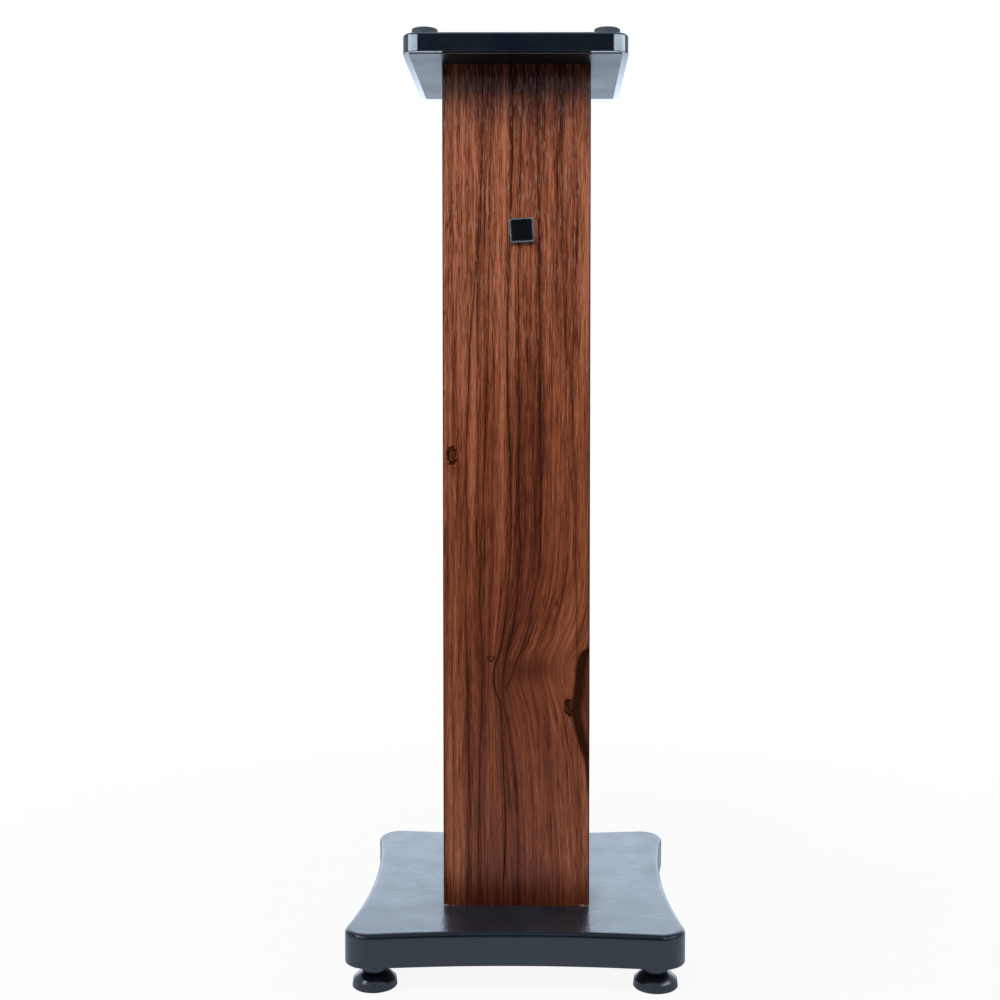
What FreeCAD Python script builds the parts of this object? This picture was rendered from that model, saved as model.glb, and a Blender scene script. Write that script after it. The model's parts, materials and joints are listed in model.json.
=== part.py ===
import FreeCAD, Part
import math
import os

from FreeCAD import Vector

# Speaker stand: box column on a concave-sided base with four levelling feet,
# and a steel sheet and a padded top plate on the column.
# Millimetres. +X right and +Z up as seen from the front, the front faces -Y,
# the origin is on the floor under the middle of the base.

# Levelling feet
foot_inset = 21.5
glide_height = 5.8
glide_radius = 16.6
glide_top_radius = 15.9
glide_edge = 0.6
rivet_recess_radius = 5.0
rivet_recess_depth = 2.2
knob_height = 5.7
knob_radius = 15.6
knob_top_radius = 9.0
collar_radius = 7.6
collar_height = 8.5
stud_radius = 4.0
stud_reach = 26.0
stud_flange_radius = 6.0
stud_flange_height = 2.6
rivet_neck_radius = 2.5
rivet_head_radius = 4.4
rivet_head_height = 1.1
socket_radius = 5.9
socket_depth = 18.0

# Base
base_width = 251.0
base_depth = 251.0
base_thickness = 25.0
side_hollow = 9.0
front_hollow = 6.5
base_corner = 18.5
base_top_edge = 4.0
base_bottom_edge = 0.4

# Column
column_width = 112.0
column_depth = 88.0
column_height = 640.0
column_forward = 21.0
panel_thickness = 12.0
column_edge = 1.6
end_block_height = 40.0

# Top
top_width = 166.0
top_depth = 160.0
top_thickness = 14.0
top_corner = 12.0
top_upper_edge = 2.0
top_lower_edge = 0.4
under_side_inset = 5.0
under_front_inset = 6.0
under_thickness = 0.5
under_corner = 2.0
pad_radius = 9.6
pad_height = 5.5
pad_edge = 0.7
pad_inset = 16.0

# Bolts that join the column to the base and to the top
bolt_radius = 3.0
bolt_spread_x = 56.0
bolt_spread_y = 36.0
bolt_head_radius = 5.5
bolt_head_height = 3.4
bolt_head_round = 1.1
bolt_socket_radius = 2.0
bolt_socket_depth = 1.8
bolt_reach = 22.0
washer_radius = 7.0
washer_thickness = 1.2
insert_radius = 4.6
insert_flange_radius = 6.2
insert_flange_height = 1.2
insert_depth = 25.0

# Badge
badge_size = 18.0
badge_corner = 1.6
badge_thickness = 2.2
badge_rim = 0.8
badge_recess = 1.2
badge_dome_rise = 0.7
badge_dome_edge = 0.6
badge_pad_thickness = 0.5
badge_above_base = 516.0
badge_right = 4.0
badge_turn = 3.3

# Clearances
running_gap = 0.05
glue_gap = 0.05
bolt_gap = 0.3
recess_gap = 0.4

# How near two levels must be to count as one
level_match = 1e-4

# Levels, from the floor up
knob_floor = glide_height
collar_floor = knob_floor + knob_height
base_floor = collar_floor + collar_height
base_ceiling = base_floor + base_thickness
column_floor = base_ceiling
column_ceiling = column_floor + column_height
under_floor = column_ceiling
top_floor = under_floor + under_thickness
top_ceiling = top_floor + top_thickness

# Places in plan
column_centre_y = -column_forward
column_front_y = column_centre_y - column_depth / 2
foot_x = base_width / 2 - foot_inset
foot_y = base_depth / 2 - foot_inset
pad_x = top_width / 2 - pad_inset
pad_y = top_depth / 2 - pad_inset
corners = {"fl": (-1, -1), "fr": (1, -1), "bl": (-1, 1), "br": (1, 1)}
bolt_places = [(sx * bolt_spread_x / 2, column_centre_y + sy * bolt_spread_y / 2)
               for sx, sy in corners.values()]
bolt_recess = bolt_head_height + washer_thickness + recess_gap

os.makedirs("parts", exist_ok=True)


def save(name, shape):
    """Write one node as a STEP file."""
    shape.exportStep("parts/" + name + ".step")


def cylinder(x, y, z, radius, height):
    """Upright cylinder with its foot at x, y, z."""
    return Part.makeCylinder(radius, height, Vector(x, y, z))


def revolve(points, x, y):
    """Solid of revolution about the upright axis at x, y, from (radius, height) pairs."""
    ring = [Vector(r, 0, z) for r, z in points]
    face = Part.Face(Part.makePolygon(ring + ring[:1]))
    solid = face.revolve(Vector(0, 0, 0), Vector(0, 0, 1), 360)
    solid.translate(Vector(x, y, 0))
    return solid


def slab(width, depth, thickness, corner, centre_y, z):
    """Plate with rounded upright corners."""
    box = Part.makeBox(width, depth, thickness, Vector(-width / 2, centre_y - depth / 2, z))
    upright = [e for e in box.Edges if abs(e.Vertexes[0].Z - e.Vertexes[1].Z) > thickness / 2]
    return box.makeFillet(corner, upright)


def edges_at(solid, z):
    """Edges that lie in the level plane z."""
    return [e for e in solid.Edges
            if abs(e.BoundBox.ZMin - z) < level_match and abs(e.BoundBox.ZMax - z) < level_match]


def hollow_side(width, depth, hollow):
    """Side at -Y of a plan width by depth, as its two ends and the middle of its inward arc.

    The arc runs tangent into the round corners.
    """
    corner = Vector(width / 2 - base_corner, base_corner - depth / 2, 0)
    rise = base_corner - hollow
    arc = (rise ** 2 + corner.x ** 2 - base_corner ** 2) / (2 * hollow)
    centre = Vector(0, hollow - depth / 2 - arc, 0)
    join = centre + (corner - centre).normalize() * arc
    return Vector(-join.x, join.y, 0), Vector(0, centre.y + arc, 0), join


def base_outline():
    """Closed plan of the base: four hollow sides joined by four round corners."""
    turn = FreeCAD.Rotation(Vector(0, 0, 1), 90)
    sides = []
    for quarter in range(4):
        if quarter % 2:
            points = hollow_side(base_depth, base_width, side_hollow)
        else:
            points = hollow_side(base_width, base_depth, front_hollow)
        for _ in range(quarter):
            points = [turn.multVec(p) for p in points]
        sides.append(points)
    lines = []
    for quarter in range(4):
        start, middle, end = sides[quarter]
        following = sides[(quarter + 1) % 4][0]
        sx = 1 if quarter in (0, 1) else -1
        sy = 1 if quarter in (1, 2) else -1
        corner = Vector(sx * (base_width / 2 - base_corner), sy * (base_depth / 2 - base_corner), 0)
        tip = corner + Vector(sx, sy, 0).normalize() * base_corner
        lines.append(Part.Arc(start, middle, end).toShape())
        lines.append(Part.Arc(end, tip, following).toShape())
    return Part.Wire(lines)


def make_base():
    """Base plate with blind holes for the foot sockets and through holes for the bolts."""
    wire = base_outline()
    wire.translate(Vector(0, 0, base_floor))
    base = Part.Face(wire).extrude(Vector(0, 0, base_thickness))
    base = base.makeFillet(base_top_edge, edges_at(base, base_ceiling))
    base = base.makeChamfer(base_bottom_edge, edges_at(base, base_floor))
    for sx, sy in corners.values():
        depth = socket_depth + recess_gap
        base = base.cut(cylinder(sx * foot_x, sy * foot_y, base_floor, socket_radius + glue_gap, depth))
    for x, y in bolt_places:
        base = base.cut(cylinder(x, y, base_floor, washer_radius + recess_gap, bolt_recess))
        base = base.cut(cylinder(x, y, base_floor, bolt_radius + bolt_gap, base_thickness))
    return base


def make_column():
    """Four mitred column panels, keyed by side."""
    outer = slab(column_width, column_depth, column_height, column_edge, 0, 0)
    inner_width = column_width - 2 * panel_thickness
    inner_depth = column_depth - 2 * panel_thickness
    hollow = Part.makeBox(inner_width, inner_depth, column_height,
                          Vector(-inner_width / 2, -inner_depth / 2, 0))
    tube = outer.cut(hollow)
    half_w = column_width / 2
    half_d = column_depth / 2
    mitre = min(half_w, half_d)
    plans = {
        "front": [(-half_w, -half_d), (half_w, -half_d), (half_w - mitre, mitre - half_d),
                  (mitre - half_w, mitre - half_d)],
        "back": [(-half_w, half_d), (half_w, half_d), (half_w - mitre, half_d - mitre),
                 (mitre - half_w, half_d - mitre)],
        "left": [(-half_w, -half_d), (mitre - half_w, 0), (-half_w, half_d)],
        "right": [(half_w, -half_d), (half_w - mitre, 0), (half_w, half_d)],
    }
    panels = {}
    for side, plan in plans.items():
        ring = [Vector(x, y, 0) for x, y in plan]
        wedge = Part.Face(Part.makePolygon(ring + ring[:1])).extrude(Vector(0, 0, column_height))
        panel = tube.common(wedge).Solids[0]
        panel.translate(Vector(0, column_centre_y, column_floor))
        panels[side] = panel
    return panels


def span_foot(mouth_z, length, upwards):
    """Lower end of a length that runs up or down from the level mouth_z."""
    return mouth_z if upwards else mouth_z - length


def make_end_block(z, mouth_z, upwards):
    """Solid block inside one end of the column, bored from mouth_z for the threaded inserts."""
    width = column_width - 2 * panel_thickness
    depth = column_depth - 2 * panel_thickness
    block = Part.makeBox(width, depth, end_block_height,
                         Vector(-width / 2, column_centre_y - depth / 2, z))
    for x, y in bolt_places:
        for radius, length in ((insert_flange_radius, insert_flange_height),
                               (insert_radius, insert_depth)):
            foot = span_foot(mouth_z, length, upwards)
            block = block.cut(cylinder(x, y, foot, radius + glue_gap, length))
    return block


def make_insert(x, y, mouth_z, upwards):
    """Flanged threaded insert that runs up or down from its mouth."""
    flange_foot = span_foot(mouth_z, insert_flange_height, upwards)
    barrel_foot = span_foot(mouth_z, insert_depth, upwards)
    flange = cylinder(x, y, flange_foot, insert_flange_radius, insert_flange_height)
    barrel = cylinder(x, y, barrel_foot, insert_radius, insert_depth)
    bore = cylinder(x, y, barrel_foot, bolt_radius + running_gap, insert_depth)
    return flange.fuse(barrel).cut(bore).removeSplitter()


def make_bolt(x, y, seat_z, length, upwards):
    """Button-head bolt with a round key recess, its head seated at seat_z."""
    head_foot = span_foot(seat_z, bolt_head_height, not upwards)
    outer_z = head_foot if upwards else head_foot + bolt_head_height
    head = cylinder(x, y, head_foot, bolt_head_radius, bolt_head_height)
    head = head.makeFillet(bolt_head_round, edges_at(head, outer_z))
    bolt = head.fuse(cylinder(x, y, span_foot(seat_z, length, upwards), bolt_radius, length))
    key_foot = span_foot(outer_z, bolt_socket_depth, upwards)
    return bolt.cut(cylinder(x, y, key_foot, bolt_socket_radius, bolt_socket_depth))


def make_washer(x, y, z):
    """Flat washer with its lower face at z."""
    disc = cylinder(x, y, z, washer_radius, washer_thickness)
    return disc.cut(cylinder(x, y, z, bolt_radius + bolt_gap, washer_thickness))


def make_under_plate():
    """Thin steel sheet between the column and the top plate."""
    plate = slab(top_width - 2 * under_side_inset, top_depth - 2 * under_front_inset, under_thickness,
                 under_corner, column_centre_y, under_floor)
    for x, y in bolt_places:
        plate = plate.cut(cylinder(x, y, under_floor, bolt_radius + bolt_gap, under_thickness))
    return plate


def make_top_plate():
    """Top plate with rounded edges and recessed bolt holes."""
    plate = slab(top_width, top_depth, top_thickness, top_corner, column_centre_y, top_floor)
    plate = plate.makeFillet(top_upper_edge, edges_at(plate, top_ceiling))
    plate = plate.makeFillet(top_lower_edge, edges_at(plate, top_floor))
    recess_floor = top_ceiling - bolt_recess
    for x, y in bolt_places:
        plate = plate.cut(cylinder(x, y, top_floor, bolt_radius + bolt_gap, top_thickness))
        plate = plate.cut(cylinder(x, y, recess_floor, washer_radius + recess_gap, bolt_recess))
    return plate


def make_pad(x, y):
    """Rubber pad that the speaker stands on."""
    pad = cylinder(x, y, top_ceiling, pad_radius, pad_height)
    return pad.makeFillet(pad_edge, edges_at(pad, top_ceiling + pad_height))


def make_glide(x, y):
    """Floor glide that stays still while the knob turns on it."""
    profile = [(0, 0), (glide_radius - glide_edge, 0), (glide_radius, glide_edge),
               (glide_top_radius, glide_height), (0, glide_height)]
    glide = revolve(profile, x, y)
    glide = glide.cut(cylinder(x, y, 0, rivet_recess_radius, rivet_recess_depth))
    return glide.cut(cylinder(x, y, 0, rivet_neck_radius + running_gap, glide_height))


def make_knob(x, y):
    """Knob with a ball-shaped crown, moulded round the flange of its stud."""
    sink = (knob_radius ** 2 - knob_top_radius ** 2 - knob_height ** 2) / (2 * knob_height)
    crown = Part.makeSphere(math.hypot(knob_radius, sink), Vector(x, y, knob_floor - sink))
    knob = cylinder(x, y, knob_floor, knob_radius, knob_height).common(crown)
    knob = knob.cut(cylinder(x, y, knob_floor, stud_radius + glue_gap, knob_height))
    return knob.cut(cylinder(x, y, knob_floor, stud_flange_radius + glue_gap, stud_flange_height))


def make_stud(x, y):
    """Stud with a flange in the knob and a riveted end that holds the glide."""
    head_floor = rivet_recess_depth - rivet_head_height
    stud = cylinder(x, y, head_floor, rivet_head_radius, rivet_head_height)
    stud = stud.fuse(cylinder(x, y, rivet_recess_depth, rivet_neck_radius, glide_height - rivet_recess_depth))
    stud = stud.fuse(cylinder(x, y, knob_floor, stud_flange_radius, stud_flange_height))
    return stud.fuse(cylinder(x, y, knob_floor, stud_radius, stud_reach + knob_height)).removeSplitter()


def make_socket(x, y):
    """Threaded socket in the base, with the collar that shows under it."""
    socket = cylinder(x, y, collar_floor, collar_radius, collar_height)
    socket = socket.fuse(cylinder(x, y, base_floor, socket_radius, socket_depth))
    bore = cylinder(x, y, collar_floor, stud_radius + running_gap, collar_height + socket_depth)
    return socket.cut(bore).removeSplitter()


def badge_block(size, corner, front, back):
    """Square block with round corners, from back to front millimetres off the column."""
    block = Part.makeBox(size, front - back, size, Vector(-size / 2, -front, -size / 2))
    along = [e for e in block.Edges if e.BoundBox.YLength > (front - back) / 2]
    return block.makeFillet(corner, along)


def place_badge(shape):
    """Turn a badge piece and set it on the front of the column."""
    shape.rotate(Vector(0, 0, 0), Vector(0, 1, 0), -badge_turn)
    shape.translate(Vector(badge_right, column_front_y, column_floor + badge_above_base))
    return shape


def make_badge():
    """Badge as backing pad, rimmed metal body and domed face."""
    back = badge_pad_thickness
    front = back + badge_thickness
    floor = front - badge_recess
    inner = badge_size - 2 * badge_rim
    inner_corner = badge_corner - badge_rim
    pad = badge_block(inner, inner_corner, back, 0)
    body = badge_block(badge_size, badge_corner, front, back)
    body = body.cut(badge_block(inner, inner_corner, front, floor))
    dome = badge_block(inner - 2 * glue_gap, inner_corner, front + badge_dome_rise, floor)
    rim = [e for e in dome.Edges if e.BoundBox.YMax < level_match - front - badge_dome_rise]
    dome = dome.makeChamfer(badge_dome_edge, rim)
    return {"pad": place_badge(pad), "body": place_badge(body), "dome": place_badge(dome)}


def make_joinery():
    """Groups of inserts, washers and bolts that hold the column's two ends."""
    base_seat = base_floor + bolt_recess - washer_thickness
    top_washer = top_ceiling - bolt_recess
    top_seat = top_washer + washer_thickness
    base_length = column_floor - base_seat + bolt_reach
    top_length = top_seat - column_ceiling + bolt_reach
    return {
        "base_inserts": [make_insert(x, y, column_floor, True) for x, y in bolt_places],
        "top_inserts": [make_insert(x, y, column_ceiling, False) for x, y in bolt_places],
        "base_washers": [make_washer(x, y, base_seat) for x, y in bolt_places],
        "top_washers": [make_washer(x, y, top_washer) for x, y in bolt_places],
        "base_bolts": [make_bolt(x, y, base_seat, base_length, True) for x, y in bolt_places],
        "top_bolts": [make_bolt(x, y, top_seat, top_length, False) for x, y in bolt_places],
    }


def main():
    """Build and save every node."""
    save("base_plate", make_base())
    for side, panel in make_column().items():
        save("column_" + side, panel)
    save("bottom_block", make_end_block(column_floor, column_floor, True))
    save("top_block", make_end_block(column_ceiling - end_block_height, column_ceiling, False))
    save("under_plate", make_under_plate())
    save("top_plate", make_top_plate())
    for name, shape in make_badge().items():
        save("badge_" + name, shape)
    for name, solids in make_joinery().items():
        save(name, Part.Compound(solids))
    for place, (sx, sy) in corners.items():
        x = sx * foot_x
        y = sy * foot_y
        save("foot_socket_" + place, make_socket(x, y))
        save("foot_stud_" + place, make_stud(x, y))
        save("foot_knob_" + place, make_knob(x, y))
        save("foot_glide_" + place, make_glide(x, y))
        save("top_pad_" + place, make_pad(sx * pad_x, column_centre_y + sy * pad_y))


main()
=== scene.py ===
import bmesh
import bpy
import json
import math
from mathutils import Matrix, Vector


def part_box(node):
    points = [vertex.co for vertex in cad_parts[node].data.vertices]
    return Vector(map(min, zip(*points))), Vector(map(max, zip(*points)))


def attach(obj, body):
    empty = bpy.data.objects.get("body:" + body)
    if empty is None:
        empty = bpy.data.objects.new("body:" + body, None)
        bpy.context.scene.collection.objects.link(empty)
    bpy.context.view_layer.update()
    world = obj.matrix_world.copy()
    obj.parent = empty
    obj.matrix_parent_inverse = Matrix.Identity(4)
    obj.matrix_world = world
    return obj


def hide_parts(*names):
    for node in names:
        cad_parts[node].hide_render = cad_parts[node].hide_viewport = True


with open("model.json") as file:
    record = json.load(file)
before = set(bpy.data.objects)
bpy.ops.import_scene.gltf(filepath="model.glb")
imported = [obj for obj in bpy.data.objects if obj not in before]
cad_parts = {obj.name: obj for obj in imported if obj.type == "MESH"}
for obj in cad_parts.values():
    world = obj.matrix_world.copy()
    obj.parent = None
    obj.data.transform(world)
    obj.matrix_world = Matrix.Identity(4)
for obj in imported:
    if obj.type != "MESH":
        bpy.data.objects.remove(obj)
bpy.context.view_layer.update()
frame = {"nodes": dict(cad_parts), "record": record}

# Speaker stand: wood-grain box column between a gloss top plate and a waisted
# base on four levelling feet. Metres; the front faces -Y. Materials measure in
# millimetres.

COLUMN_LOW, COLUMN_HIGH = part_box("column_front")
COLUMN_WIDTH = (COLUMN_HIGH.x - COLUMN_LOW.x) * 1000
COLUMN_HEIGHT = (COLUMN_HIGH.z - COLUMN_LOW.z) * 1000
COLUMN_FOOT = COLUMN_LOW.z * 1000

# Grain of the front panel, drawn one by one. A streak is its half width in
# millimetres, how dark it is, and its points as (share of the height, share of
# the width) from the lower left corner.
STREAKS = {
    "middle": (0.9, 0.86, [
        (0, 0.40), (0.09, 0.425), (0.16, 0.412), (0.245, 0.385), (0.272, 0.344), (0.298, 0.365),
        (0.31, 0.392), (0.332, 0.412), (0.381, 0.44), (0.411, 0.456), (0.53, 0.457), (0.62, 0.44),
        (0.71, 0.441), (0.80, 0.455), (0.9, 0.473), (1, 0.473)]),
    "beside": (0.7, 0.8, [
        (0, 0.51), (0.126, 0.5), (0.203, 0.46), (0.265, 0.405), (0.304, 0.433), (0.334, 0.474),
        (0.358, 0.494), (0.381, 0.508), (0.435, 0.528), (0.453, 0.521), (0.6, 0.518),
        (0.755, 0.515), (1, 0.55)]),
    "thick": (1.2, 0.75, [
        (0.27, 0.45), (0.292, 0.494), (0.328, 0.569), (0.376, 0.623), (0.411, 0.664),
        (0.453, 0.664), (0.6, 0.66), (1, 0.64)]),
    "left": (0.7, 0.8, [
        (0, 0.164), (0.126, 0.172), (0.245, 0.167), (0.364, 0.154), (0.435, 0.168), (0.518, 0.155),
        (0.601, 0.17), (0.672, 0.184), (0.708, 0.201), (0.765, 0.224), (0.839, 0.253),
        (0.912, 0.27), (1, 0.271)]),
    "twin": (0.7, 0.75, [
        (0, 0.233), (0.162, 0.248), (0.245, 0.262), (0.304, 0.269), (0.364, 0.249), (0.411, 0.255),
        (0.518, 0.278), (0.601, 0.292), (0.672, 0.306), (0.839, 0.32), (1, 0.334)]),
    "far_left": (0.6, 0.65, [
        (0, 0.062), (0.126, 0.07), (0.316, 0.058), (0.411, 0.073), (0.465, 0.087), (0.53, 0.101),
        (0.565, 0.081), (0.72, 0.063), (1, 0.07)]),
    "right": (0.7, 0.65, [
        (0, 0.93), (0.482, 0.901), (0.577, 0.887), (0.625, 0.874), (0.684, 0.833), (0.839, 0.812),
        (1, 0.791)]),
    "stub": (1.1, 0.8, [(0.66, 0.235), (0.7, 0.233), (0.75, 0.238), (0.8, 0.241)]),
    "short": (0.8, 0.7, [(0.756, 0.902), (0.8, 0.91), (0.887, 0.906)]),
    "flow_a": (0.5, 0.6, [(0.2, 0.725), (0.245, 0.715), (0.285, 0.67), (0.33, 0.76), (0.4, 0.84)]),
    "flow_b": (0.5, 0.55, [
        (0.16, 0.66), (0.22, 0.645), (0.262, 0.61), (0.285, 0.585), (0.31, 0.63), (0.36, 0.71),
        (0.43, 0.76)]),
}
# How far the grain is pulled left beside the knot, as a share of the width
PULL = [
    (0, 0.05), (0.09, 0.06), (0.16, 0.08), (0.2, 0.1), (0.24, 0.135), (0.262, 0.17), (0.28, 0.19),
    (0.295, 0.185), (0.32, 0.13), (0.345, 0.085), (0.375, 0.045), (0.411, 0.02), (0.5, 0.005),
    (0.6, 0), (1, 0)]
# Painted light and shade on the wood from the foot of the column upwards, 0.5 for
# no change: painted shade at the foot, painted light in the upper middle and a
# painted shadow of the top plate at the head
PAINTED_LIGHT_AND_SHADE = [
    (0, 0.34), (0.03, 0.42), (0.07, 0.52), (0.18, 0.5), (0.26, 0.45), (0.33, 0.44), (0.42, 0.45),
    (0.55, 0.5), (0.7, 0.55), (0.8, 0.56), (0.9, 0.52), (0.94, 0.46), (0.965, 0.38), (0.985, 0.26),
    (1, 0.2)]
# Brightness of the wood from the left edge to the right, 0.5 for no change
TONE = [
    (0, 0.56), (0.08, 0.62), (0.2, 0.54), (0.31, 0.45), (0.4, 0.56), (0.46, 0.52), (0.5, 0.43),
    (0.62, 0.40), (0.74, 0.5), (0.86, 0.57), (1, 0.62)]
# Knots and eyes of the grain: height and width shares, half sizes in
# millimetres across and up, how dark the ring is and how dark the inside is
KNOTS = [
    (0.541, 0.057, 2.8, 5.6, 0.95, 0.6), (0.299, 0.327, 2.2, 1.9, 0.85, 0.25),
    (0.240, 0.858, 2.4, 5.4, 0.95, 0.8), (0.523, 0.075, 3.6, 2.6, 0.4, 0.2)]
# Left edge of the dark heartwood that runs in from the right
HEART = [
    (0, 1), (0.113, 1), (0.143, 0.983), (0.173, 0.966), (0.188, 0.942), (0.202, 0.914),
    (0.218, 0.892), (0.232, 0.876), (0.248, 0.88), (0.262, 0.892), (0.277, 0.9), (0.292, 0.908),
    (0.307, 0.942), (0.318, 1), (1, 1)]
SMUDGE_LEVEL = 0.288    # height share of the dark smudge across the swirl
STRIPE_PLACE = 0.395    # width share of the bright stripe above the swirl
MIDDLE_TONE = 0.55      # tone that stays as it is where the grain is livelier or calmer

# The wood's colours by tone, then of its streaks, the pale fill and painted
# glints of its pores and the chipped lower corners
WOOD_TONES = [
    (0.0, (0.075, 0.017, 0.007)), (0.25, (0.142, 0.031, 0.012)), (0.5, (0.245, 0.059, 0.023)),
    (0.75, (0.362, 0.098, 0.040)), (1.0, (0.520, 0.170, 0.075))]
STREAK_BROWN = (0.016, 0.004, 0.002)
PALE_PORE_FILL_AND_PAINTED_GLINT = (0.46, 0.27, 0.20)
CHIP_PALE = (0.50, 0.38, 0.32)

WHITE = (1, 1, 1)
COOL = (0.70, 0.83, 1.0)
STRIP_BLUE = (0.74, 0.86, 1.0)

# Levelling stud in millimetres: its M8 thread, then its rivet head and its
# flange, with their heights over the stud's foot
THREAD_RADIUS, THREAD_DEPTH, THREAD_PITCH, THREAD_STEP = 4.0, 0.65, 1.25, 0.25
RIVET_HEAD_RADIUS, RIVET_HEAD_TOP, RIVET_NECK_RADIUS = 4.4, 1.1, 2.5
FLANGE_RADIUS, FLANGE_FOOT, FLANGE_TOP = 6.0, 4.7, 7.3

BOLT_HEAD_RADIUS = 0.0055       # metres
STUD_SIDES, BOLT_SIDES = 40, 36     # corners of each turned outline
SHARP_ANGLE = 40                # degrees from which a turned edge stays sharp
FLOOR_REACH = 6.0               # metres from the middle to each side

# Camera at the photograph's place: a little above the middle of the stand,
# square to its front
SENSOR_WIDTH, FOCAL_LENGTH = 36, 49.686
LENS_SHIFT = (-0.03862, -0.03602)
CAMERA_PLACE = (0.02334, -1.11075, 0.4288)
CAMERA_ANGLES = (math.pi / 2 - 0.04186, -0.00087, 0.00624)


class Graph:
    """The node tree of a material or a world, and short calls that add nodes to it."""

    def __init__(self, owner):
        owner.use_nodes = True
        self.owner = owner
        self.tree = owner.node_tree
        self.tree.nodes.clear()

    def node(self, kind, inputs=None, **settings):
        """Add a node; inputs are keyed by socket name or number."""
        made = self.tree.nodes.new(kind)
        for key, value in settings.items():
            setattr(made, key, value)
        for key, value in (inputs or {}).items():
            if isinstance(value, bpy.types.NodeSocket):
                self.tree.links.new(value, made.inputs[key])
            else:
                made.inputs[key].default_value = value
        return made

    def math(self, operation, a, b=0.0, c=0.0):
        """One arithmetic step on numbers or sockets."""
        return self.node("ShaderNodeMath", {0: a, 1: b, 2: c}, operation=operation).outputs[0]

    def plus(self, a, b):
        """The sum of two values."""
        return self.math("ADD", a, b)

    def minus(self, a, b):
        """The first value less the second."""
        return self.math("SUBTRACT", a, b)

    def times(self, a, b):
        """The product of two values."""
        return self.math("MULTIPLY", a, b)

    def most(self, a, b):
        """The larger of two values."""
        return self.math("MAXIMUM", a, b)

    def size(self, value):
        """A value without its sign."""
        return self.math("ABSOLUTE", value)

    def swing(self, value, width):
        """A value of 0 to 1 made to swing round 0 instead, over the given width."""
        return self.times(self.minus(value, 0.5), width)

    def length(self, a, b):
        """How far a point is from the middle, from its two parts."""
        return self.math("SQRT", self.plus(self.times(a, a), self.times(b, b)))

    def position(self):
        """Place on the object in millimetres, as a vector and its three parts."""
        scaled = self.scale(self.node("ShaderNodeTexCoord").outputs["Object"], 1000)
        parts = self.node("ShaderNodeSeparateXYZ", {0: scaled}).outputs
        return scaled, parts[0], parts[1], parts[2]

    def normal(self):
        """The three parts of the surface's normal."""
        normal = self.node("ShaderNodeNewGeometry").outputs["Normal"]
        return self.node("ShaderNodeSeparateXYZ", {0: normal}).outputs

    def scale(self, vector, x, y=None, z=None):
        """The vector times a number on each axis, or times one number on all."""
        factors = (x, x, x) if y is None else (x, y, z)
        return self.node("ShaderNodeVectorMath", {0: vector, 1: factors},
                         operation="MULTIPLY").outputs[0]

    def join(self, x, y, z):
        """A vector from three parts."""
        return self.node("ShaderNodeCombineXYZ", {0: x, 1: y, 2: z}).outputs[0]

    def noise(self, vector, detail=2, roughness=0.5):
        """Noise from 0 to 1, about one blot per unit of the vector."""
        return self.node("ShaderNodeTexNoise", {"Vector": vector, "Scale": 1.0, "Detail": detail,
                                                "Roughness": roughness}).outputs[0]

    def span(self, value, low, high, to_low=0.0, to_high=1.0, smooth=True):
        """Map low..high to to_low..to_high, held at the ends."""
        ends = {"Value": value, "From Min": low, "From Max": high,
                "To Min": to_low, "To Max": to_high}
        kind = "SMOOTHSTEP" if smooth else "LINEAR"
        return self.node("ShaderNodeMapRange", ends, interpolation_type=kind).outputs[0]

    def curve(self, value, points):
        """Smooth curve through points whose both parts run from 0 to 1."""
        made = self.node("ShaderNodeFloatCurve", {"Value": value})
        line = made.mapping.curves[0]
        line.points[0].location = points[0]
        line.points[1].location = points[-1]
        for point in points[1:-1]:
            line.points.new(*point)
        made.mapping.update()
        return made.outputs[0]

    def ramp(self, value, stops):
        """Colour that runs through stops of (place, colour)."""
        made = self.node("ShaderNodeValToRGB", {0: value})
        elements = made.color_ramp.elements
        for number, (place, color) in enumerate(stops):
            element = elements[number] if number < 2 else elements.new(place)
            element.position = place
            element.color = color4(color)
        return made.outputs[0]

    def mix(self, share, a, b):
        """Colour a turned towards colour b by share."""
        return self.node("ShaderNodeMix", {0: share, 6: a, 7: b}, data_type="RGBA").outputs[2]

    def blend(self, share, a, b):
        """Shader a turned towards shader b by share."""
        shaders = {0: share, 1: a.outputs[0], 2: b.outputs[0]}
        return self.node("ShaderNodeMixShader", shaders)

    def bump(self, height, depth, below=None):
        """Normal from a height of 0 to 1 that stands for depth in metres."""
        inputs = {"Height": height, "Distance": depth, "Strength": 1.0}
        if below is not None:
            inputs["Normal"] = below
        return self.node("ShaderNodeBump", inputs).outputs[0]

    def finish(self, **inputs):
        """Close the tree with a Principled shader; names use _ for a space."""
        named = {key.replace("_", " "): value for key, value in inputs.items()}
        shader = self.node("ShaderNodeBsdfPrincipled", named)
        self.node("ShaderNodeOutputMaterial", {0: shader.outputs[0]})
        return self.owner


def new_material(name):
    """An empty node material."""
    return Graph(bpy.data.materials.new(name))


def color4(color):
    """A colour with full alpha."""
    return (*color, 1)


def edge_of(g):
    """Rounding between a level face and an upright one, 0 to 1."""
    slope = g.size(g.normal()[2])
    return g.times(g.span(slope, 0.15, 0.4), g.span(slope, 0.85, 0.97, 1, 0))


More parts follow.
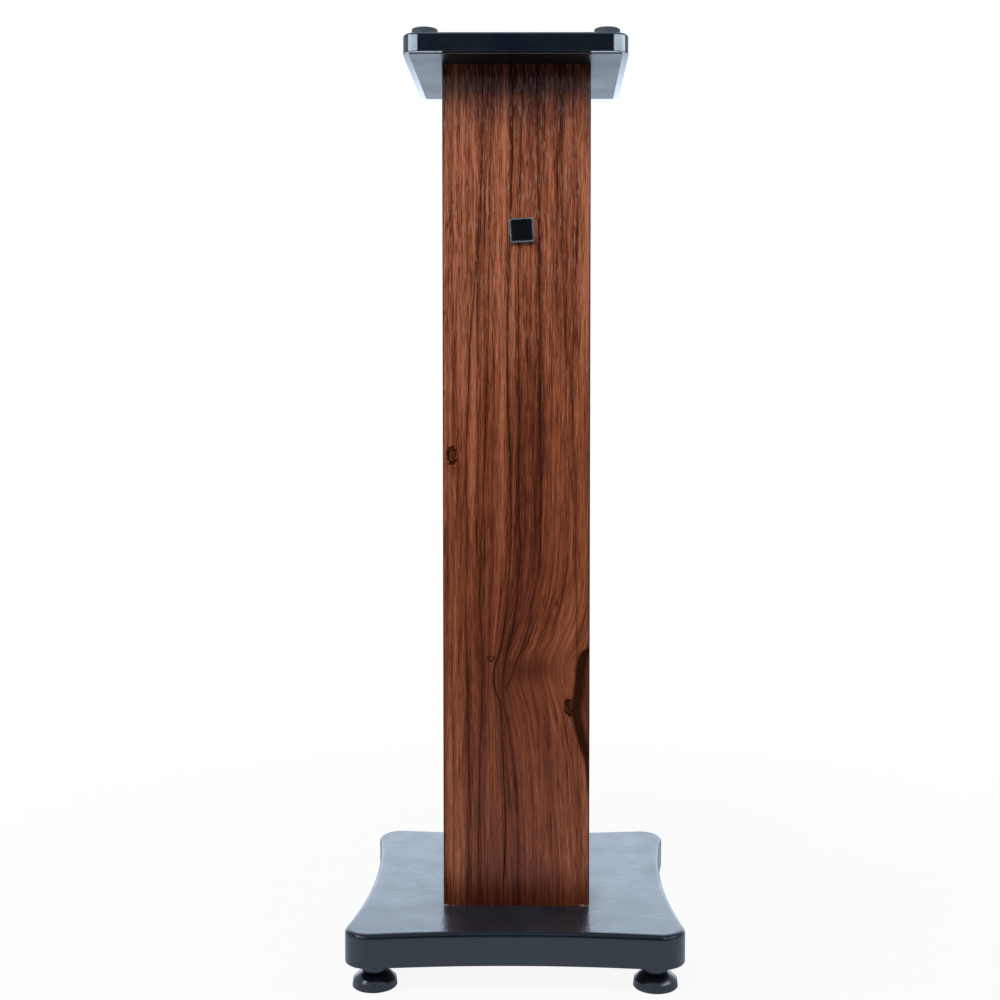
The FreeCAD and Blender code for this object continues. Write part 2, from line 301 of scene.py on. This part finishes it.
def coated(name, color, lift, roughness, grain, depth, mottle=0.0, orange=0.0, wear=0.0,
           edge=None, side=None, **inputs):
    """Smooth coat or moulded surface: a fine bump, a cloudy tone and uneven gloss.

    grain is the width of the bump's grain and depth its height, in millimetres;
    orange is the height of a peel three times as wide. lift is the colour where
    the surface catches dust and handling, and wear how much of it its edges
    show. edge is a darker colour painted on rounded edges as a painted dark
    reflection, and side a pale colour painted on upright faces as a painted
    reflection.
    """
    g = new_material(name)
    place = g.position()[0]
    fine = g.noise(g.scale(place, 1 / grain), detail=1)
    cloud = g.noise(g.scale(place, 0.03), detail=4, roughness=0.6)
    speck = g.span(g.noise(g.scale(place, 0.6 / grain), detail=1), 0.62, 0.75)
    share = g.most(g.span(cloud, 0.35, 0.75, 0, 0.7), g.times(speck, 0.6))
    if wear or edge:
        rounded = edge_of(g)
    if wear:
        rubbed = g.noise(g.scale(place, 0.35), detail=4, roughness=0.7)
        share = g.most(share, g.times(rounded, g.span(rubbed, 0.45, 0.6, 0, wear)))
    tone = g.mix(share, color4(color), color4(lift))
    # Painted dark reflection: rounded edges turned towards a darker colour
    if edge:
        tone = g.mix(g.times(rounded, g.span(cloud, 0.3, 0.7, 0.8, 1)), tone, color4(edge))
        inputs["Specular_IOR_Level"] = g.span(rounded, 0, 1, 0.5, 0.26)
    # Painted reflection: upright faces turned towards a pale colour
    if side:
        upright = g.span(g.size(g.normal()[2]), 0.2, 0.6, 1, 0)
        tone = g.mix(g.times(upright, g.span(cloud, 0.3, 0.7, 0.75, 1)), tone, color4(side))
    gloss = g.plus(g.span(cloud, 0.3, 0.7, roughness - mottle, roughness + mottle),
                   g.times(speck, 0.05))
    if edge:
        gloss = g.minus(gloss, g.times(rounded, 0.16))
    peel = None
    if orange:
        peel = g.bump(g.noise(g.scale(place, 1 / (3 * grain))), orange / 1000)
    return g.finish(Base_Color=tone, Roughness=gloss, Normal=g.bump(fine, depth / 1000, peel),
                    **inputs)


def grain_of(g, place):
    """Straight wood grain: its tone, about 0 to 1, how dark its lines are, and its fine fibres."""
    bands = g.noise(g.scale(place, 0.11, 0.11, 0.003), roughness=0.6)
    stripes = g.noise(g.scale(place, 0.42, 0.42, 0.009), roughness=0.6)
    fibres = g.noise(g.scale(place, 0.95, 0.95, 0.04), roughness=0.7)
    fine = g.noise(g.scale(place, 1.7, 1.7, 0.1), detail=1, roughness=0.6)
    tone = g.span(fine, 0.27, 0.73, 0, 0.3, smooth=False)
    tone = g.plus(g.span(fibres, 0.3, 0.7, 0, 0.24, smooth=False), tone)
    tone = g.plus(g.span(stripes, 0.3, 0.7, 0, 0.3, smooth=False), tone)
    tone = g.plus(g.span(bands, 0.32, 0.68, 0, 0.3, smooth=False), tone)
    contour = g.noise(g.scale(place, 0.05, 0.05, 0.0018), detail=1)
    ring = g.math("PINGPONG", g.times(contour, 14), 0.5)
    line = g.times(g.span(ring, 0.0, 0.055, 1, 0), g.span(fibres, 0.42, 0.56))
    dash = g.noise(g.scale(place, 1.15, 1.15, 0.022), detail=1, roughness=0.6)
    dash = g.times(g.span(dash, 0.57, 0.64), g.span(stripes, 0.35, 0.6, 1, 0.4))
    dark = g.most(g.times(line, 0.7), g.times(dash, 0.7))
    return tone, dark, fine


def knot_of(g, x, z, across, up, half_x, half_z):
    """Ring and inside of an oval knot, each 0 to 1; places are in millimetres."""
    dx = g.math("DIVIDE", g.minus(x, across), half_x)
    dz = g.math("DIVIDE", g.minus(z, up), half_z)
    uneven = g.noise(g.join(g.times(x, 0.5), 0.0, g.times(z, 0.35)))
    out = g.plus(g.length(dx, dz), g.span(uneven, 0.3, 0.7, -0.4, 0.4))
    ring = g.span(g.size(g.minus(out, 1.0)), 0.15, 0.5, 1, 0)
    return ring, g.span(out, 0.6, 1.1, 1, 0)


def streak_of(g, up, across, fade, half, strength, points):
    """Darkness of one streak: a crisp line in a soft margin, between its first and last point."""
    gap = g.size(g.minus(across, g.curve(up, points)))
    line = g.span(gap, 0.4 * half / COLUMN_WIDTH, 1.2 * half / COLUMN_WIDTH, strength, 0)
    line = g.most(line, g.span(gap, 0, 5 * half / COLUMN_WIDTH, 0.35 * strength, 0))
    line = g.times(line, g.span(fade, 0.3, 0.55, 0.6, 1))
    foot, head = points[0][0], points[-1][0]
    line = g.times(line, g.span(up, foot - 0.02, foot))
    return g.times(line, g.span(up, head, head + 0.03, 1, 0))


def front_figure(g, place, x, y, z, up, drift):
    """Grain of the front panel, as grain_of gives it, with swirl, streaks, knots and heartwood."""
    across = g.plus(g.math("DIVIDE", x, COLUMN_WIDTH), 0.5)
    reach = g.times(g.span(across, 0.27, 0.45), g.span(across, 0.8, 1, 1, 0.6))
    sideways = g.plus(across, g.times(g.curve(up, PULL), reach))
    bent = g.math("MULTIPLY_ADD", sideways, COLUMN_WIDTH, g.times(drift, 0.5))
    tone, dark, fine = grain_of(g, g.join(bent, y, z))

    calm = g.times(g.span(up, 0.225, 0.262), g.span(up, 0.29, 0.325, 1, 0))
    calm = g.times(calm, g.span(across, 0.36, 0.5, 0, 0.55))
    liveliness = g.minus(g.span(up, 0.42, 0.75, 1.2, 1.8), calm)
    tone = g.math("MULTIPLY_ADD", g.minus(tone, MIDDLE_TONE), liveliness, MIDDLE_TONE)
    dark = g.times(dark, g.minus(1.0, calm))
    tone = g.plus(tone, g.swing(g.curve(sideways, TONE), 1.5))
    # Painted shade at the foot, painted light higher up and painted shadow under the top plate
    tone = g.plus(tone, g.swing(g.curve(up, PAINTED_LIGHT_AND_SHADE), 1.6))
    stripe = g.span(g.size(g.minus(across, STRIPE_PLACE)), 0.015, 0.055, 0.2, 0)
    tone = g.plus(tone, g.times(stripe, g.span(up, 0.34, 0.5)))

    wave = g.noise(g.join(0.0, 0.0, g.times(z, 0.05)))
    near = g.plus(across, g.swing(wave, 0.012))
    fade = g.noise(g.scale(place, 0.08, 0.08, 0.012))
    for half, strength, points in STREAKS.values():
        dark = g.most(dark, streak_of(g, up, near, fade, half, strength, points))

    level = g.plus(up, g.math("MULTIPLY_ADD", across, -0.02, g.times(fade, 0.03)))
    smudge = g.span(g.size(g.minus(level, SMUDGE_LEVEL)), 0, 0.03, 0.46, 0)
    middle = g.times(g.span(across, 0.3, 0.55), g.span(across, 0.65, 0.88, 1, 0))
    dark = g.most(dark, g.times(smudge, middle))
    for up_at, across_at, half_x, half_z, rim, inside in KNOTS:
        ring, core = knot_of(g, x, z, (across_at - 0.5) * COLUMN_WIDTH,
                             COLUMN_FOOT + up_at * COLUMN_HEIGHT, half_x, half_z)
        dark = g.most(dark, g.times(ring, rim))
        dark = g.most(dark, g.times(core, inside))
    inward = g.minus(near, g.curve(up, HEART))
    heart = g.times(g.span(inward, -0.014, 0.016, 0, 0.92), g.span(inward, 0.05, 0.1, 1, 0.62))
    return tone, g.most(dark, heart), fine


def wood(name, figured):
    """Satin wood grain: dark lines, red-brown fibres and fine open pores, with painted
    glints in the pores of its upper part and painted shade at its foot and on its
    rounded upright edges.

    figured adds the streaks, knots and heartwood of the front panel.
    """
    g = new_material(name)
    place, x, y, z = g.position()
    above = g.minus(z, COLUMN_FOOT)
    up = g.math("DIVIDE", above, COLUMN_HEIGHT)
    drift = g.swing(g.noise(g.scale(place, 0.025, 0.025, 0.006)), 9)
    drift = g.plus(drift, g.swing(g.noise(g.scale(place, 0.2, 0.2, 0.035)), 2.2))
    if figured:
        tone, dark, fine = front_figure(g, place, x, y, z, up, drift)
    else:
        tone, dark, fine = grain_of(g, g.join(g.plus(x, drift), g.plus(y, drift), z))
    # Painted shade at the foot of the column, over the lowest part of its height
    dark = g.most(dark, g.span(up, 0, 0.055, 0.5, 0))
    # Painted shade on the rounded upright edges of the column, picked out by their normal
    facing = g.normal()
    corner = g.span(g.size(g.times(facing[0], facing[1])), 0.1, 0.4)
    dark = g.most(dark, g.times(corner, 0.6))
    color = g.mix(dark, g.ramp(tone, WOOD_TONES), color4(STREAK_BROWN))
    # Open pores: a faint pale fill all over, made strong in the upper part as painted glints
    pores = g.span(g.noise(g.scale(place, 1.5, 1.5, 0.12), detail=1), 0.61, 0.68)
    pores = g.times(pores, g.span(up, 0.55, 0.85, 0.06, 1))
    color = g.mix(g.times(pores, 0.45), color, color4(PALE_PORE_FILL_AND_PAINTED_GLINT))
    chips = g.span(g.noise(g.scale(place, 0.3, 0.3, 0.8), detail=3, roughness=0.7), 0.42, 0.52)
    low_corner = g.times(g.span(above, 0.4, 1.6, 1, 0), g.span(g.size(x), 46, 52))
    color = g.mix(g.times(chips, low_corner), color, color4(CHIP_PALE))
    relief = g.minus(g.times(fine, 0.5), g.times(pores, 0.8))
    return g.finish(Base_Color=color, Roughness=g.span(fine, 0.3, 0.7, 0.24, 0.34),
                    Normal=g.bump(relief, 0.00005),
                    Specular_IOR_Level=g.span(dark, 0, 0.9, 0.26, 0.02))


def raw_board(name):
    """Cut fibreboard: pale brown with short felted fibres."""
    g = new_material(name)
    felt = g.noise(g.scale(g.position()[0], 1.4, 1.4, 2.2), detail=4, roughness=0.7)
    color = g.ramp(felt, [(0.3, (0.30, 0.20, 0.12)), (0.7, (0.50, 0.37, 0.25))])
    return g.finish(Base_Color=color, Roughness=0.85, Normal=g.bump(felt, 0.0002))


def metal(name, color, roughness, brushed):
    """Bare or plated metal with fine turning marks; brushed is their depth in millimetres."""
    g = new_material(name)
    place = g.position()[0]
    marks = g.noise(g.scale(place, 1.2, 1.2, 14))
    stain = g.span(g.noise(g.scale(place, 0.35), detail=3), 0.35, 0.7, 0, 0.5)
    tone = g.mix(stain, color4(color), color4([0.6 * part for part in color]))
    gloss = g.span(marks, 0.3, 0.7, roughness - 0.06, roughness + 0.1)
    return g.finish(Base_Color=tone, Metallic=1.0, Roughness=gloss,
                    Normal=g.bump(marks, brushed / 1000))


# For coated: name, colour, lift, roughness, grain, depth
FINISHES = {
    # textured_black paints its rounded edges dark as a painted dark reflection
    "textured_black": coated(
        "textured_black", (0.012, 0.018, 0.026), (0.024, 0.032, 0.042), 0.31, 1.5, 0.04,
        mottle=0.05, orange=0.16, wear=0.25, edge=(0.001, 0.005, 0.012), IOR=1.58),
    "gloss_black": coated(
        "gloss_black", (0.003, 0.008, 0.014), (0.007, 0.013, 0.020), 0.13, 3.0, 0.004,
        mottle=0.02, wear=0.8, IOR=1.5, Coat_Weight=0.6, Coat_Roughness=0.11, Coat_IOR=1.5),
    # satin_steel paints its upright faces pale as a painted reflection
    "satin_steel": coated(
        "satin_steel", (0.011, 0.016, 0.022), (0.019, 0.025, 0.033), 0.36, 0.5, 0.012,
        mottle=0.03, side=(0.42, 0.45, 0.5), IOR=1.52),
    "pad_rubber": coated(
        "pad_rubber", (0.026, 0.038, 0.052), (0.050, 0.066, 0.082), 0.62, 0.3, 0.02,
        mottle=0.08),
    "knob_black": coated(
        "knob_black", (0.003, 0.007, 0.013), (0.008, 0.013, 0.020), 0.19, 1.5, 0.004,
        mottle=0.04, IOR=1.52),
    "glide_rubber": coated(
        "glide_rubber", (0.016, 0.021, 0.027), (0.034, 0.040, 0.048), 0.48, 0.3, 0.02,
        mottle=0.08),
    "socket_grey": coated(
        "socket_grey", (0.145, 0.185, 0.225), (0.190, 0.235, 0.275), 0.38, 0.3, 0.01,
        mottle=0.06),
    "badge_face": coated(
        "badge_face", (0.004, 0.005, 0.008), (0.008, 0.010, 0.013), 0.08, 0.8, 0.002,
        mottle=0.02, IOR=1.5),
    "foam_tape": coated(
        "foam_tape", (0.05, 0.05, 0.05), (0.08, 0.08, 0.08), 0.85, 0.25, 0.08),
    "black_steel": coated(
        "black_steel", (0.016, 0.016, 0.018), (0.04, 0.04, 0.044), 0.38, 0.25, 0.008,
        mottle=0.08),
    "badge_metal": metal("badge_metal", (0.66, 0.72, 0.80), 0.26, 0.002),
    "zinc_steel": metal("zinc_steel", (0.58, 0.60, 0.63), 0.3, 0.006),
    "insert_brass": metal("insert_brass", (0.68, 0.50, 0.24), 0.3, 0.006),
    "raw_board": raw_board("raw_board"),
    "wood_foil": wood("wood_foil", False),
}
FRONT_WOOD = wood("wood_foil_front", True)


def dress_nodes():
    """Give each node the finish that the record names for it."""
    slots = {part["node"]: part["material_slot"] for part in frame["record"]["subparts"]}
    for name, node in frame["nodes"].items():
        finish = FRONT_WOOD if name == "column_front" else FINISHES[slots[name]]
        for place in node.material_slots:
            place.material = finish


def turned(name, rings, sides, slot, places):
    """One object with a closed turned solid at each place.

    A ring is (height, radius at an angle) in millimetres, from one end to the
    other; places are the axes in metres.
    """
    bm = bmesh.new()
    for x, y in places:
        loops = []
        for z, radius_at in rings:
            loop = []
            for k in range(sides):
                angle = 2 * math.pi * k / sides
                out = radius_at(angle) / 1000
                corner = (x + out * math.cos(angle), y + out * math.sin(angle), z / 1000)
                loop.append(bm.verts.new(corner))
            loops.append(loop)
        for low, high in zip(loops, loops[1:]):
            for k in range(sides):
                bm.faces.new((low[k - 1], low[k], high[k], high[k - 1]))
        bm.faces.new(loops[0])
        bm.faces.new(loops[-1])
    bmesh.ops.recalc_face_normals(bm, faces=bm.faces)
    mesh = bpy.data.meshes.new(name)
    bm.to_mesh(mesh)
    bm.free()
    mesh.shade_smooth()
    mesh.set_sharp_from_angle(angle=math.radians(SHARP_ANGLE))
    mesh.materials.append(FINISHES[slot])
    piece = bpy.data.objects.new(name, mesh)
    bpy.context.scene.collection.objects.link(piece)
    return piece


def round_at(radius):
    """A round outline."""
    return lambda angle: radius


def hexagon_at(flat):
    """A six-sided outline, flat millimetres from the middle to each side."""
    return lambda angle: flat / math.cos((angle + math.pi / 6) % (math.pi / 3) - math.pi / 6)


def thread_at(z):
    """Outline of the stud's thread at a height, with flat crests and roots."""
    def radius(angle):
        climb = (z / THREAD_PITCH - angle / (2 * math.pi)) % 1.0
        cut = min(1.0, max(0.0, 1.25 - 2.5 * abs(climb - 0.5)))
        return THREAD_RADIUS - THREAD_DEPTH * cut
    return radius


def make_studs():
    """Foot studs with a real thread, in place of the plain ones."""
    for corner in ("fl", "fr", "bl", "br"):
        node = "foot_stud_" + corner
        low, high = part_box(node)
        foot, tip = low.z * 1000, high.z * 1000
        rings = [(foot, round_at(4.1)),
                 (foot + 0.3, round_at(RIVET_HEAD_RADIUS)),
                 (foot + RIVET_HEAD_TOP, round_at(RIVET_HEAD_RADIUS)),
                 (foot + RIVET_HEAD_TOP, round_at(RIVET_NECK_RADIUS)),
                 (foot + FLANGE_FOOT, round_at(RIVET_NECK_RADIUS)),
                 (foot + FLANGE_FOOT, round_at(FLANGE_RADIUS)),
                 (foot + FLANGE_TOP, round_at(FLANGE_RADIUS)),
                 (foot + FLANGE_TOP, round_at(3.4))]
        start = foot + 7.6
        for step in range(int((tip - 0.8 - start) / THREAD_STEP)):
            z = start + THREAD_STEP * step
            rings.append((z, thread_at(z)))
        rings += [(tip - 0.6, round_at(3.35)), (tip, round_at(2.9))]
        axis = ((low.x + high.x) / 2, (low.y + high.y) / 2)
        stud = turned("thread_" + corner, rings, STUD_SIDES, "zinc_steel", [axis])
        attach(stud, "screw_" + corner)
        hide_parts(node)


def make_bolts():
    """Bolts with rounded heads and six-sided key recesses, in place of the plain ones."""
    # Outline of a head by its height over the head's face, from the recess outwards
    head = [(-1.8, hexagon_at(2.0)), (-0.1, hexagon_at(2.0)), (0, hexagon_at(2.15)),
            (0, round_at(4.4)), (-0.15, round_at(4.95)), (-0.55, round_at(5.35)),
            (-1.1, round_at(5.5)), (-3.3, round_at(5.5)), (-3.4, round_at(5.4)),
            (-3.4, round_at(3.0))]
    for node, outward in (("base_bolts", -1), ("top_bolts", 1)):
        low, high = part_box(node)
        face, tip = (high.z, low.z) if outward > 0 else (low.z, high.z)
        rings = [(face * 1000 + outward * height, outline) for height, outline in head]
        rings += [(tip * 1000 + outward * 0.5, round_at(3.0)), (tip * 1000, round_at(2.5))]
        places = [(x, y) for x in (low.x + BOLT_HEAD_RADIUS, high.x - BOLT_HEAD_RADIUS)
                  for y in (low.y + BOLT_HEAD_RADIUS, high.y - BOLT_HEAD_RADIUS)]
        bolts = turned(node + "_hex", rings, BOLT_SIDES, "black_steel", places)
        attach(bolts, "stand")
        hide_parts(node)


def seen_in_gloss(g, path):
    """1 for rays that a glossy or clear surface sends out."""
    return g.most(path["Is Glossy Ray"], path["Is Transmission Ray"])


def make_floor():
    """Pale floor far wider than the view, white to the camera away from the stand.

    It keeps the stand's soft shadow, and gloss sees it as a cool pale ground
    that darkens in front of the stand.
    """
    g = new_material("pale_floor")
    place, x, y, z = g.position()
    paper = g.noise(g.scale(place, 0.4), detail=3)
    path = g.node("ShaderNodeLightPath").outputs
    tone = g.ramp(paper, [(0.3, (0.78, 0.78, 0.78)), (0.7, (0.82, 0.82, 0.82))])
    tone = g.mix(path["Is Camera Ray"], color4((0.22, 0.23, 0.25)), tone)
    matt = g.node("ShaderNodeBsdfPrincipled", {"Base Color": tone, "Roughness": 0.9})
    front = g.span(y, -1300, -230, 0.05, 1.0)
    lit = g.node("ShaderNodeEmission", {"Color": color4(COOL), "Strength": front})
    white = g.node("ShaderNodeEmission", {"Strength": 1.0})
    share = g.times(path["Is Camera Ray"], g.span(g.length(x, y), 200, 800, 0.92, 1.0))
    both = g.blend(seen_in_gloss(g, path), g.blend(share, matt, white), lit)
    g.node("ShaderNodeOutputMaterial", {0: both.outputs[0]})
    reach = FLOOR_REACH
    corners = [(-reach, -reach, 0), (reach, -reach, 0), (reach, reach, 0), (-reach, reach, 0)]
    mesh = bpy.data.meshes.new("floor")
    mesh.from_pydata(corners, [], [(0, 1, 2, 3)])
    floor = bpy.data.objects.new("floor", mesh)
    bpy.context.scene.collection.objects.link(floor)
    mesh.materials.append(g.owner)


def make_world():
    """White surroundings: full for the camera, cool for gloss and dimmer as light.

    For gloss they darken in front of the stand.
    """
    world = bpy.data.worlds.new("studio")
    bpy.context.scene.world = world
    g = Graph(world)
    path = g.node("ShaderNodeLightPath").outputs
    toward = g.node("ShaderNodeTexCoord").outputs["Generated"]
    direction = g.node("ShaderNodeSeparateXYZ", {0: toward}).outputs
    front = g.span(direction[1], -0.97, -0.6, 0.05, 1.0)
    gloss = g.node("ShaderNodeBackground", {"Color": color4(COOL), "Strength": front})
    light = g.node("ShaderNodeBackground", {"Color": color4(WHITE), "Strength": 0.2})
    white = g.node("ShaderNodeBackground", {"Color": color4(WHITE), "Strength": 1.0})
    unseen = g.blend(seen_in_gloss(g, path), light, gloss)
    both = g.blend(path["Is Camera Ray"], unseen, white)
    g.node("ShaderNodeOutputWorld", {0: both.outputs[0]})


def soft_box(name, place, target, width, height, radiance, color=WHITE):
    """Rectangular lamp that faces target; at radiance 1 its face is as bright as white."""
    lamp = bpy.data.lights.new(name, "AREA")
    lamp.shape = "RECTANGLE"
    lamp.size = width
    lamp.size_y = height
    lamp.color = color
    lamp.energy = radiance * math.pi * width * height
    box = bpy.data.objects.new(name, lamp)
    bpy.context.scene.collection.objects.link(box)
    box.location = place
    box.rotation_euler = (Vector(target) - Vector(place)).to_track_quat("-Z", "Y").to_euler()
    box.visible_camera = False
    return box


def make_lights():
    """Soft lamps: over the front, a small key at the left, a strip at each side, a wide one behind.

    The front lamp is a diffuser that gloss doesn't see, and the strips are
    there for gloss alone.
    """
    front = soft_box("front_lamp", (-0.25, -1.1, 1.66), (0, -0.05, 0.6), 1.1, 0.8, 7.2)
    front.visible_glossy = False
    soft_box("key_lamp", (-1.3, -0.55, 1.5), (0, -0.05, 0.3), 0.36, 0.36, 11.0, (0.9, 0.95, 1.0))
    left = soft_box("left_strip", (-0.955, -1.04, 1.07), (0.1, 0.09, 0.67), 1.6, 0.2, 9.0,
                    STRIP_BLUE)
    right = soft_box("right_strip", (0.975, -0.795, 1.07), (0, -0.03, 0.67), 1.97, 0.2, 9.0,
                     STRIP_BLUE)
    for strip in (left, right):
        strip.visible_diffuse = False
    soft_box("back_lamp", (0, 2.6, 1.2), (0, 0, 0.6), 5.0, 2.6, 2.0, COOL)


def make_camera():
    """The camera, as the constants above place it."""
    lens = bpy.data.cameras.new("camera")
    lens.sensor_width = SENSOR_WIDTH
    lens.lens = FOCAL_LENGTH
    lens.shift_x, lens.shift_y = LENS_SHIFT
    camera = bpy.data.objects.new("camera", lens)
    bpy.context.scene.collection.objects.link(camera)
    camera.location = CAMERA_PLACE
    camera.rotation_euler = CAMERA_ANGLES
    bpy.context.scene.camera = camera


make_camera()
dress_nodes()
make_studs()
make_bolts()
make_floor()
make_world()
make_lights()
bpy.context.scene.view_settings.view_transform = "Standard"
